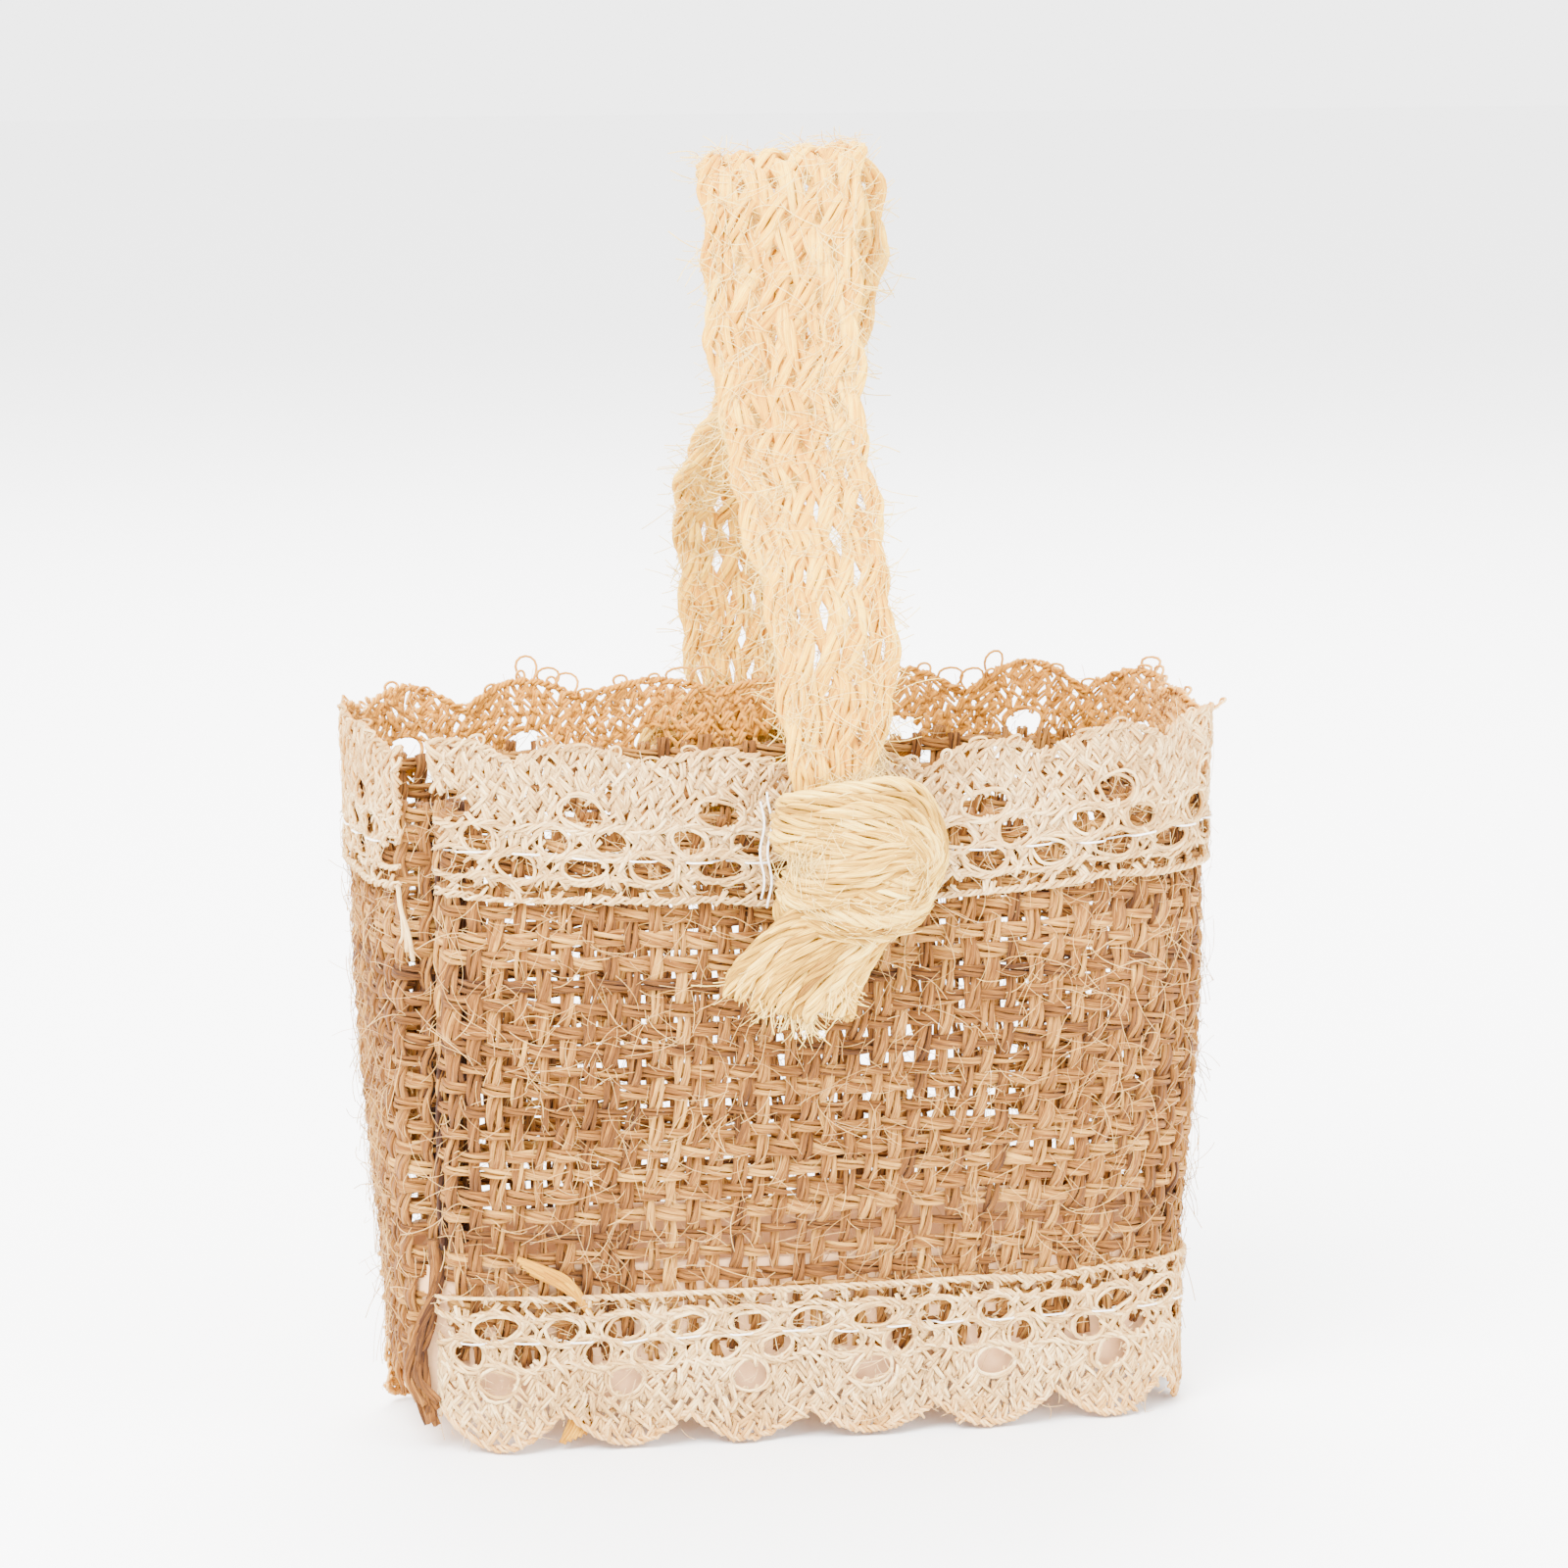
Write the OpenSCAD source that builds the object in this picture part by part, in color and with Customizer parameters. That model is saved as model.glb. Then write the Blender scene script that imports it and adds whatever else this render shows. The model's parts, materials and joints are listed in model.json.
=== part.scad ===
/* [Body] */
// outside width of the burlap wall at the rim
body_w = 94; // [72:1:110]
// outside depth of the burlap wall at the rim
body_d = 46; // [38:1:60]
// height of the burlap strip
wall_h = 62; // [50:0.5:80]
// thickness of the coarse weave
wall_t = 1.2; // [0.8:0.1:2]
// width at the foot as a share of the width at the rim
taper = 0.94; // [0.88:0.01:1]
// depth at the foot as a share of the depth at the rim
taper_deep = 0.64; // [0.6:0.01:1]
// squareness of the plan, where 2 is an ellipse
squareness = 4; // [3:0.5:6]
// direction of the joined corner, seen from above
seam_turn = 212; // [205:1:220]
// depth of the seam allowance turned to the inside
seam_fold = 5; // [3:0.5:8]

/* [Lace] */
// width of the lace ribbon
lace_w = 17.5; // [14:0.5:20]
// thickness of the lace ribbon
lace_t = 1.4; // [0.8:0.1:2]
// how far the lower lace hangs below the burlap
lace_drop = 10.5; // [8:0.5:12]
// how far the upper lace stands above the burlap
lace_rise = 7.5; // [5:0.5:9]
// gap between the two cut ends of each lace
lace_gap = 3; // [1.5:0.5:6]
// how much of the left side the lower lace leaves bare
bare_side = 19; // [6:1:22]
// distance of the sewing thread from the straight edge of the lace
thread_in = 5; // [3:0.5:7]
// thickness of the sewing thread
thread_t = 0.4; // [0.3:0.1:0.6]

/* [Base] */
// thickness of the card
card_t = 1; // [0.6:0.1:1.6]
// height of the card's turned-up rim above the foot of the burlap
card_rim = 10; // [6:0.5:16]
// how far the card reaches below the burlap
card_drop = 5; // [0:0.5:7]

/* [Handle] */
// sideways place of the handle
handle_x = 0.5; // [-4:0.5:4]
// height of the hinge line below the top of the upper lace
hinge_drop = 5.5; // [5:0.5:7]
// rise of the loop above the hinge line
loop_rise = 65; // [56:1:90]
// thickness of the flat braid
strap_t = 2.6; // [1.8:0.1:3.2]
// width of the braid where it leaves the knot
strap_w_low = 13; // [11:0.5:15]
// width of the braid at the top of the loop
strap_w_top = 18; // [14:0.5:22]
// radius of the gathered end inside the knot
foot_r = 4.6; // [4:0.1:5]

/* [Knots] */
// radius of one wrap of a knot
wrap_r = 4.7; // [4.6:0.1:5.2]
// length of a wrap between its round ends
wrap_len = 8; // [7:0.5:12]
// length of the frayed tail
tail_len = 15; // [8:0.5:20]
// width of the tail where it leaves the knot
tail_w_top = 9; // [7:0.5:11]
// width of the frayed end
tail_w_end = 13; // [10:0.5:15]

/* [Hidden] */
plan_steps = 96;
loop_steps = 22;
rim_z = lace_drop + wall_h + lace_rise;
wall_top = lace_drop + wall_h;
hinge_z = rim_z - hinge_drop;
gap = 0.35;
slot_depth = 2.4;
hair = 0.05;
// everything outside the upper lace and its thread starts here
outer_y = body_d / 2 + lace_t + hair;
strap_y = outer_y + thread_t + gap + strap_t / 2;
knot_y = outer_y + thread_t + wrap_r;
burlap = [0.72, 0.53, 0.34];
cotton = [0.94, 0.91, 0.86];
jute = [0.95, 0.88, 0.72];
gold = [0.9, 0.66, 0.32];

// half of the outside width and depth of the burlap at a height
function half_x(z) = body_w / 2 * (1 - (1 - taper) * (rim_z - z) / rim_z);
function half_y(z) = body_d / 2 * (1 - (1 - taper_deep) * (rim_z - z) / rim_z);

function squircle(a, b) = [for (i = [0:plan_steps - 1])
    let (t = 360 * i / plan_steps, c = cos(t), s = sin(t))
    [a * sign(c) * pow(abs(c), 2 / squareness), b * sign(s) * pow(abs(s), 2 / squareness)]];

// the left front corner at a height, where the strip of burlap is joined
function corner_x(z) = -half_x(z) * pow(abs(cos(seam_turn)), 2 / squareness);
function corner_y(z) = -half_y(z) * pow(abs(sin(seam_turn)), 2 / squareness);
function corner_angle(z) = atan2(corner_y(z), corner_x(z));

// a solid that follows the tapering plan from z0 to z1
module plug(z0, z1, grow) {
    a = half_x(z0) + grow;
    b = half_y(z0) + grow;
    translate([0, 0, z0])
        linear_extrude(height = z1 - z0, slices = 1,
                       scale = [(half_x(z1) + grow) / a, (half_y(z1) + grow) / b])
            polygon(squircle(a, b));
}

// a ring between two outlines of the plan
module ring(z0, z1, grow_in, grow_out) {
    difference() {
        plug(z0, z1, grow_out);
        plug(z0 - 1, z1 + 1, grow_in);
    }
}

// a ring that is open at the joined corner
module open_ring(z0, z1, grow_in, grow_out, opening) {
    difference() {
        ring(z0, z1, grow_in, grow_out);
        translate([corner_x(z0), corner_y(z0), z0 - 1])
            rotate([0, 0, corner_angle(z0)])
                translate([-4, -opening / 2, 0])
                    cube([12, opening, z1 - z0 + 2]);
    }
}

// the burlap strip, with its two ends turned in at the joined corner
module burlap_wall() {
    fold_z = lace_drop + card_rim + 1;
    middle_z = (fold_z + wall_top) / 2;
    color(burlap)
        union() {
            ring(lace_drop, wall_top, -wall_t, 0);
            intersection() {
                plug(fold_z, wall_top, -wall_t / 2);
                translate([corner_x(middle_z), corner_y(middle_z), fold_z])
                    rotate([0, 0, corner_angle(middle_z)])
                        translate([-seam_fold - wall_t, -wall_t, 0])
                            cube([seam_fold + 6 * wall_t, 2 * wall_t, wall_h]);
            }
        }
}

// the stiff tray of card that the burlap is wrapped round
module base_card() {
    color(jute)
        difference() {
            plug(lace_drop - card_drop, lace_drop + card_rim, -wall_t - hair);
            plug(lace_drop - card_drop + card_t, lace_drop + card_rim + 1, -wall_t - card_t);
        }
}

// the space beside the joined corner that the lower lace and its thread leave bare
module side_space() {
    translate([-body_w / 2 - 8, corner_y(0), -1])
        cube([16, bare_side, lace_w + 2]);
}

module lower_lace() {
    color(cotton)
        difference() {
            open_ring(0, lace_w, hair, lace_t, lace_gap);
            side_space();
        }
}

module upper_lace() {
    color(cotton)
        open_ring(rim_z - lace_w, rim_z, hair, lace_t, lace_gap);
}

// the line of stitches that closes the burlap strip
module seam_thread() {
    z0 = lace_w + 1;
    z1 = rim_z - lace_w - 1;
    color(burlap)
        loose_end([corner_x(z0) - 1, corner_y(z0) - 1, z0], [corner_x(z1) - 1, corner_y(z1) - 1, z1],
                  thread_t / 2);
}

module lace_thread(z) {
    color(cotton)
        open_ring(z - thread_t / 2, z + thread_t / 2, lace_t + hair, lace_t + hair + thread_t, lace_gap + 2);
}

module lower_lace_thread() {
    difference() {
        lace_thread(lace_w - thread_in);
        side_space();
    }
}

module upper_lace_thread() {
    lace_thread(rim_z - lace_w + thread_in);
}

// a loose end, as a thin rod from one point to another
module loose_end(from, to, r) {
    d = to - from;
    translate(from)
        rotate([0, atan2(norm([d[0], d[1]]), d[2]), atan2(d[1], d[0])])
            cylinder(h = norm(d), r = r, $fn = 16);
}

// a loose yarn at the cut end of the upper lace
module lace_yarn_tail() {
    z0 = rim_z - lace_w - 0.2;
    x = corner_x(z0) - 1.4;
    y = corner_y(z0) + 1.6;
    color(cotton)
        loose_end([x - 1.2, y, z0], [x - 1, y - 0.6, z0 - 7], 0.5);
}

// a frayed strand of the burlap that hangs from the foot of the joined corner
module seam_strand() {
    z0 = lace_drop + 14;
    color(burlap)
        loose_end([corner_x(z0) - 2.6, corner_y(z0) - 2.6, z0], [corner_x(0) - 3.2, corner_y(0) - 2.8, 1], 0.9);
}

// a thick golden lump of yarn that lies between the wall and the lower lace
module gold_slub() {
    z1 = lace_w + 3.2;
    color(gold)
        loose_end([-27, -half_y(z1) - 1.6, z1], [-20.5, -half_y(z1) - 1.9, lace_w + 1.1], 0.9);
}

// one wrap of the knot, a rod with round ends along X
module wrap(x, z, y, length, r) {
    translate([x, -y, z])
        rotate([0, 90, 0])
            rotate_extrude($fn = 40)
                polygon(concat([[0, -length / 2 - r]],
                               [for (a = [-75:15:0]) [r * cos(a), r * sin(a) - length / 2]],
                               [for (a = [0:15:75]) [r * cos(a), r * sin(a) + length / 2]],
                               [[0, length / 2 + r]]));
}

// the overhand knot at the end of the braid, with the pocket that holds the end of the strap
module knot() {
    z1 = hinge_z + 2 - wrap_r;
    z2 = z1 - 1.85 * wrap_r;
    color(jute)
        difference() {
            union() {
                wrap(1.5, z1, knot_y, wrap_len, wrap_r);
                wrap(1.9, z2, knot_y, wrap_len - 0.6, wrap_r * 0.98);
                wrap(2.5, (z1 + z2) / 2, knot_y + 0.6, wrap_len - 1, wrap_r * 0.9);
                tail(z2);
            }
            translate([0, -strap_y, hinge_z])
                rotate([90, 0, 0])
                    cylinder(h = strap_t + 2 * gap, r = foot_r + gap, center = true, $fn = 48);
            translate([-20, -strap_y - strap_t / 2 - gap, hinge_z - slot_depth])
                cube([40, strap_t + 2 * gap, wrap_r + slot_depth]);
        }
}

// the frayed end that hangs to one side below the knot
module tail(z) {
    lean = 4.5;
    translate([0, -knot_y + 1.8, 0])
        rotate([90, 0, 0])
            linear_extrude(height = 3)
                polygon([[-1 - tail_w_top / 2, z], [-1 + tail_w_top / 2, z],
                         [-1 - lean + tail_w_end / 2, z - tail_len - 1],
                         [-1 - lean - tail_w_end / 2, z - tail_len + 1]]);
}

module front_knot() {
    translate([handle_x, 0, 0])
        knot();
}

module back_knot() {
    translate([handle_x, 0, 0])
        rotate([0, 0, 180])
            knot();
}

// two threads that pass over the edge of the knot and hold it to the wall
module knot_stitches() {
    x = -wrap_len / 2 - wrap_r + 1.4;
    color(cotton)
        for (side = [0, 1])
            translate([x - side * 0.9, -outer_y - thread_t - 0.3, hinge_z - 12.5])
                cylinder(h = 12, r = 0.25, $fn = 16);
}

module front_knot_stitches() {
    translate([handle_x - 1.6, 0, 0])
        knot_stitches();
}

module back_knot_stitches() {
    translate([handle_x + 1.6, 0, 0])
        rotate([0, 0, 180])
            knot_stitches();
}

function bezier(p, t) = pow(1 - t, 3) * p[0] + 3 * t * pow(1 - t, 2) * p[1]
    + 3 * t * t * (1 - t) * p[2] + pow(t, 3) * p[3];

// half of the loop as seen from the side, from the hinge line to the top
lower_bend = [[1, 0.2], [1, 0.42], [0.38, 0.48], [0.3, 0.74]];
upper_bend = [[0.3, 0.74], [0.26, 0.87], [0.2, 1], [0, 1]];
half_loop = concat([[1, 0], [1, 0.1]],
                   [for (i = [0:loop_steps / 2 - 1]) bezier(lower_bend, 2 * i / loop_steps)],
                   [for (i = [0:loop_steps / 2]) bezier(upper_bend, 2 * i / loop_steps)]);
loop_count = len(half_loop);
full_loop = concat(half_loop,
                   [for (i = [loop_count - 2:-1:0]) [-half_loop[i][0], half_loop[i][1]]]);

function loop_y(i) = -full_loop[i][0] * strap_y;
function loop_z(i) = hinge_z + full_loop[i][1] * loop_rise;
function along(i) = let (a = max(i - 1, 0), b = min(i + 1, len(full_loop) - 1))
    let (d = [loop_y(b) - loop_y(a), loop_z(b) - loop_z(a)])
    d / norm(d);
function half_width(i) = full_loop[i][1] < 0.15
    ? foot_r + (strap_w_low / 2 - foot_r) * full_loop[i][1] / 0.15
    : (strap_w_low + (strap_w_top - strap_w_low) * (full_loop[i][1] - 0.15) / 0.85) / 2;
function row(i) = let (t = along(i), w = half_width(i), h = strap_t / 2)
    [for (c = [[-1, -1], [1, -1], [1, 1], [-1, 1]])
        [c[0] * w, loop_y(i) - t[1] * h * c[1], loop_z(i) + t[0] * h * c[1]]];

// the flat braid between the two knots
module handle_strap() {
    n = len(full_loop);
    rows = [for (i = [0:n - 1]) each row(i)];
    sides = [for (i = [0:n - 2]) for (k = [0:3])
        each [[4 * i + k, 4 * i + (k + 1) % 4, 4 * i + 4 + k],
              [4 * i + (k + 1) % 4, 4 * i + 4 + (k + 1) % 4, 4 * i + 4 + k]]];
    last = 4 * n - 4;
    ends = [[0, 2, 1], [0, 3, 2], [last, last + 1, last + 2], [last, last + 2, last + 3]];
    color(jute)
        translate([handle_x, 0, 0])
            union() {
                polyhedron(points = rows, faces = concat(sides, ends));
                for (side = [-1, 1])
                    translate([0, side * strap_y, hinge_z])
                        rotate([90, 0, 0])
                            cylinder(h = strap_t, r = foot_r, center = true, $fn = 48);
            }
}

burlap_wall();
base_card();
lower_lace();
upper_lace();
seam_thread();
lower_lace_thread();
upper_lace_thread();
lace_yarn_tail();
seam_strand();
gold_slub();
front_knot();
back_knot();
front_knot_stitches();
back_knot_stitches();
handle_strap();
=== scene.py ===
# %% [markdown]
# # A small basket of burlap, lace and braided jute
# The object is a soft box of coarse burlap with a ribbon of crocheted lace round its rim and another round
# its foot. A flat braid of cream jute stands over the mouth and ends in a knot on each side. This lesson
# builds it from its yarns: first a few helpers that turn a path into a yarn, then the wall, the lace, the
# braid and the knots. The plain solids of the working model are loaded first, and every size below is read
# from them.

# %% Load the working model
import json
import math

import bpy
import numpy as np
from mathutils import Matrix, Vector


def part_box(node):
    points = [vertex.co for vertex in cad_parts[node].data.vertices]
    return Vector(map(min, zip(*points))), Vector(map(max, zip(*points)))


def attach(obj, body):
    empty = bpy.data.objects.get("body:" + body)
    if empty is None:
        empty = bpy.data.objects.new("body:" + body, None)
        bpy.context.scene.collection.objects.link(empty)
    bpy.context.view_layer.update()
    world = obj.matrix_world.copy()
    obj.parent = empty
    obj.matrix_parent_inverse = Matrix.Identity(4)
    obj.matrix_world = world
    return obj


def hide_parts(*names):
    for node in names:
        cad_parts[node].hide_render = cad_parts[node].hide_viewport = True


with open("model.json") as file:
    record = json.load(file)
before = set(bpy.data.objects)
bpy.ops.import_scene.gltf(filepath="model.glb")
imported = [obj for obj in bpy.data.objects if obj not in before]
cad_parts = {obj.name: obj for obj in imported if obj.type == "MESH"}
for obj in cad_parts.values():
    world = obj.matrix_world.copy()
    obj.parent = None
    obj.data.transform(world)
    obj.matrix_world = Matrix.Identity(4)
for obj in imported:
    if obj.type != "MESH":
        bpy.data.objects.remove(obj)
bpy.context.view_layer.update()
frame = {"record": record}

MM = 0.001
box = {row["node"]: [np.array(corner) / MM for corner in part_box(row["node"])]
       for row in frame["record"]["subparts"]}
hinge = np.array(frame["record"]["behaviour"]["joints"][0]["pos_m"]) / MM
print("pieces of the working model:", len(box), "| hinge at", hinge.round(1))

# %% [markdown]
# ## The camera and the light
# The basket is seen from a little to its left and a little above, from about half a metre. A long lens
# keeps the sides nearly upright. The light is a plain photographer's tent: a pale floor, a bright sky all
# round and large soft lamps, so that shadows stay faint and every yarn can be read.

# %% Camera, floor and lamps
AZIMUTH, ELEVATION, DISTANCE = -12.0, 9.5, 620.0
aim = np.array([0.5, 0.0, 70.5])


def direction(azimuth, elevation):
    a, e = math.radians(azimuth), math.radians(elevation)
    return np.array([math.sin(a) * math.cos(e), -math.cos(a) * math.cos(e), math.sin(e)])


def look(obj, place, target):
    obj.location = Vector(place * MM)
    obj.rotation_euler = Vector((target - place) * MM).to_track_quat("-Z", "Y").to_euler()


camera = bpy.data.objects.new("camera", bpy.data.cameras.new("camera"))
bpy.context.scene.collection.objects.link(camera)
camera.data.lens = 129
camera.data.clip_start = 0.01
look(camera, aim + DISTANCE * direction(AZIMUTH, ELEVATION), aim)
bpy.context.scene.camera = camera


def lamp(name, azimuth, elevation, distance, size, power):
    data = bpy.data.lights.new(name, "AREA")
    data.shape, data.size, data.energy = "DISK", size, power
    obj = bpy.data.objects.new(name, data)
    bpy.context.scene.collection.objects.link(obj)
    look(obj, aim + distance * direction(azimuth, elevation), aim)


lamp("key_lamp", -38, 45, 900, 0.6, 40)
lamp("fill_lamp", 45, 20, 900, 0.7, 12)
lamp("back_lamp", 170, 50, 900, 0.7, 28)
world = bpy.data.worlds.new("tent")
bpy.context.scene.world = world
world.use_nodes = True
world.node_tree.nodes["Background"].inputs["Color"].default_value = (1, 1, 1, 1)
world.node_tree.nodes["Background"].inputs["Strength"].default_value = 4.2

floor_mesh = bpy.data.meshes.new("floor")
floor_mesh.from_pydata([(-3, -3, 0), (3, -3, 0), (3, 3, 0), (-3, 3, 0)], [], [(0, 1, 2, 3)])
floor = bpy.data.objects.new("floor", floor_mesh)
bpy.context.scene.collection.objects.link(floor)
pale = bpy.data.materials.new("pale_floor")
pale.use_nodes = True
pale.node_tree.nodes["Principled BSDF"].inputs["Base Color"].default_value = (0.93, 0.93, 0.93, 1)
pale.node_tree.nodes["Principled BSDF"].inputs["Roughness"].default_value = 0.9
floor_mesh.materials.append(pale)
print("camera at", AZIMUTH, ELEVATION, "degrees,", DISTANCE, "mm away")

# %% [markdown]
# ## Writing shaders as sums
# A material here is a net of small nodes. To keep it readable, one class wraps a socket so that Python's
# own signs make the Math nodes, and one method makes any other node. The same class then serves every
# fabric.

# %% A socket that can be added and multiplied
class Wire:
    def __init__(self, tree, socket):
        self.tree, self.socket = tree, socket

    def put(self, target, value):
        if isinstance(value, Wire):
            self.tree.links.new(value.socket, target)
        else:
            target.default_value = value

    def node(self, kind, settings=None, inputs=None, out=0):
        made = self.tree.nodes.new(kind)
        for key, value in (settings or {}).items():
            setattr(made, key, value)
        for key, value in (inputs or {}).items():
            self.put(made.inputs[key], value)
        return Wire(self.tree, made.outputs[out])

    def maths(self, word, a, b):
        kinds = {w.socket.type for w in (a, b) if isinstance(w, Wire)}
        if "VECTOR" in kinds:
            a, b = [v if isinstance(v, (Wire, tuple)) else (v, v, v) for v in (a, b)]
            return self.node("ShaderNodeVectorMath", {"operation": word}, {0: a, 1: b})
        return self.node("ShaderNodeMath", {"operation": word}, {0: a, 1: b})

    def __add__(self, other):
        return self.maths("ADD", self, other)

    def __mul__(self, other):
        return self.maths("MULTIPLY", self, other)

    __radd__, __rmul__ = __add__, __mul__

    def mix(self, low, high):
        """low where this is 0, high where it is 1."""
        return self.node("ShaderNodeMix", {"data_type": "RGBA"}, {0: self, 6: low, 7: high}, 2)

    def noise(self, scale, detail=2.0, rough=0.5):
        return self.node("ShaderNodeTexNoise", {}, {"Vector": self, "Scale": scale, "Detail": detail,
                                                    "Roughness": rough}, "Fac")

    def span(self, low, high):
        """0 at low and 1 at high, held there beyond."""
        return self.node("ShaderNodeMapRange", {}, {"Value": self, "From Min": low, "From Max": high})


# %% [markdown]
# ## Yarn and its finish
# Jute and cotton yarns are bundles of fine fibres, so their colour and relief run in streaks along the
# yarn. Each yarn mesh carries its own coordinates, called yarn: how far along it a point is, and where it
# sits round it. Noise that is stretched along that direction gives the fibres, and a second value, tone,
# makes each yarn a little lighter or darker than its neighbour. Sheen gives the soft edge of loose fibres.

# %% One recipe for every fibre
def linear(r, g, b):
    """A painter's colour, from 0 to 255, turned into the light values that a shader needs."""
    return (*[((v / 255 + 0.055) / 1.055) ** 2.4 if v > 10 else v / 3294.6 for v in (r, g, b)], 1.0)


def fibre(name, dark, middle, light, streak=1.0, depth=0.5, rough=0.85, sheen=0.2, painted_bounce=None):
    material = bpy.data.materials.new(name)
    material.use_nodes = True
    tree = material.node_tree
    shader = tree.nodes["Principled BSDF"]
    start = Wire(tree, None)
    yarn = start.node("ShaderNodeAttribute", {"attribute_name": "yarn"}, out="Vector")
    tone = start.node("ShaderNodeAttribute", {"attribute_name": "tone"}, out="Fac")
    place = start.node("ShaderNodeTexCoord", out="Object")
    fine = (yarn * (0.45 * streak, 4.2, 4.2)).noise(1.0, 3.0, 0.65)
    broad = (yarn * (0.12 * streak, 1.1, 1.1)).noise(1.0, 2.0)
    patch = place.noise(110.0, 2.0)
    level = fine * 0.85 + broad * 0.2 + patch * 0.2 + tone * 0.18
    colour = level.span(0.45, 0.78).mix(dark, middle)
    colour = level.span(0.72, 1.02).mix(colour, light)
    # Painted bounce light: faces turned into the basket are mixed towards the given inside colour, which
    # stands in for orange light thrown back from the burlap inside.
    if painted_bounce:
        facing_in = start.node("ShaderNodeAttribute", {"attribute_name": "inside"}, out="Fac")
        colour = (facing_in * 0.92).mix(colour, painted_bounce)
    start.put(shader.inputs["Base Color"], colour)
    start.put(shader.inputs["Roughness"], fine * 0.2 + (rough - 0.1))
    bump = start.node("ShaderNodeBump", {}, {"Strength": depth, "Distance": 0.0002, "Height": fine}, "Normal")
    start.put(shader.inputs["Normal"], bump)
    shader.inputs["Sheen Weight"].default_value = sheen
    shader.inputs["Specular IOR Level"].default_value = 0.15
    return material


BURLAP = fibre("burlap_yarn", linear(46, 22, 7), linear(126, 77, 25), linear(196, 147, 72), sheen=0.04)
BURLAP_FUZZ = fibre("burlap_fuzz", linear(150, 98, 36), linear(202, 151, 72), linear(238, 200, 128))
# The lace's faces turned into the basket take a painted orange-brown bounce light.
COTTON = fibre("lace_cotton", linear(128, 86, 42), linear(204, 166, 104), linear(247, 228, 184), 1.0, 0.4,
               painted_bounce=linear(190, 124, 16), sheen=0.06)
THREAD = fibre("sewing_thread", linear(205, 200, 192), linear(235, 232, 226), linear(248, 246, 242), 1.0, 0.1)
CREAM = fibre("cream_jute", linear(180, 108, 12), linear(229, 171, 34), linear(250, 214, 92), sheen=0.03)
CREAM_FUZZ = fibre("cream_fuzz", linear(234, 186, 80), linear(248, 212, 116),
                   linear(250, 230, 156), sheen=0.03)
# The knot's jute is a darker copy of the cream jute: its deeper dark paints the shade between the knot's
# strands and wraps.
KNOT_JUTE_PAINTED_SHADE = fibre("cream_jute_knot_painted_shade", linear(108, 64, 10), linear(208, 160, 50),
                linear(250, 224, 130), sheen=0.03)
GOLD = fibre("golden_jute", linear(130, 76, 10), linear(180, 124, 20), linear(208, 160, 52), sheen=0.0)
print("finishes:", len(bpy.data.materials))

# %% [markdown]
# ## From a path to a yarn
# Every yarn is a closed tube with a flattened section. The builder takes many paths at once and writes a
# single mesh, which is much faster than one object for each yarn. A path comes with its width, its
# thickness and the direction in which it is wide, so that a woven yarn can lie flat on the wall.

# %% Tubes with a flat section
rng = np.random.default_rng(11)


def unit(v):
    return v / np.maximum(np.linalg.norm(v, axis=-1, keepdims=True), 1e-9)


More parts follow.
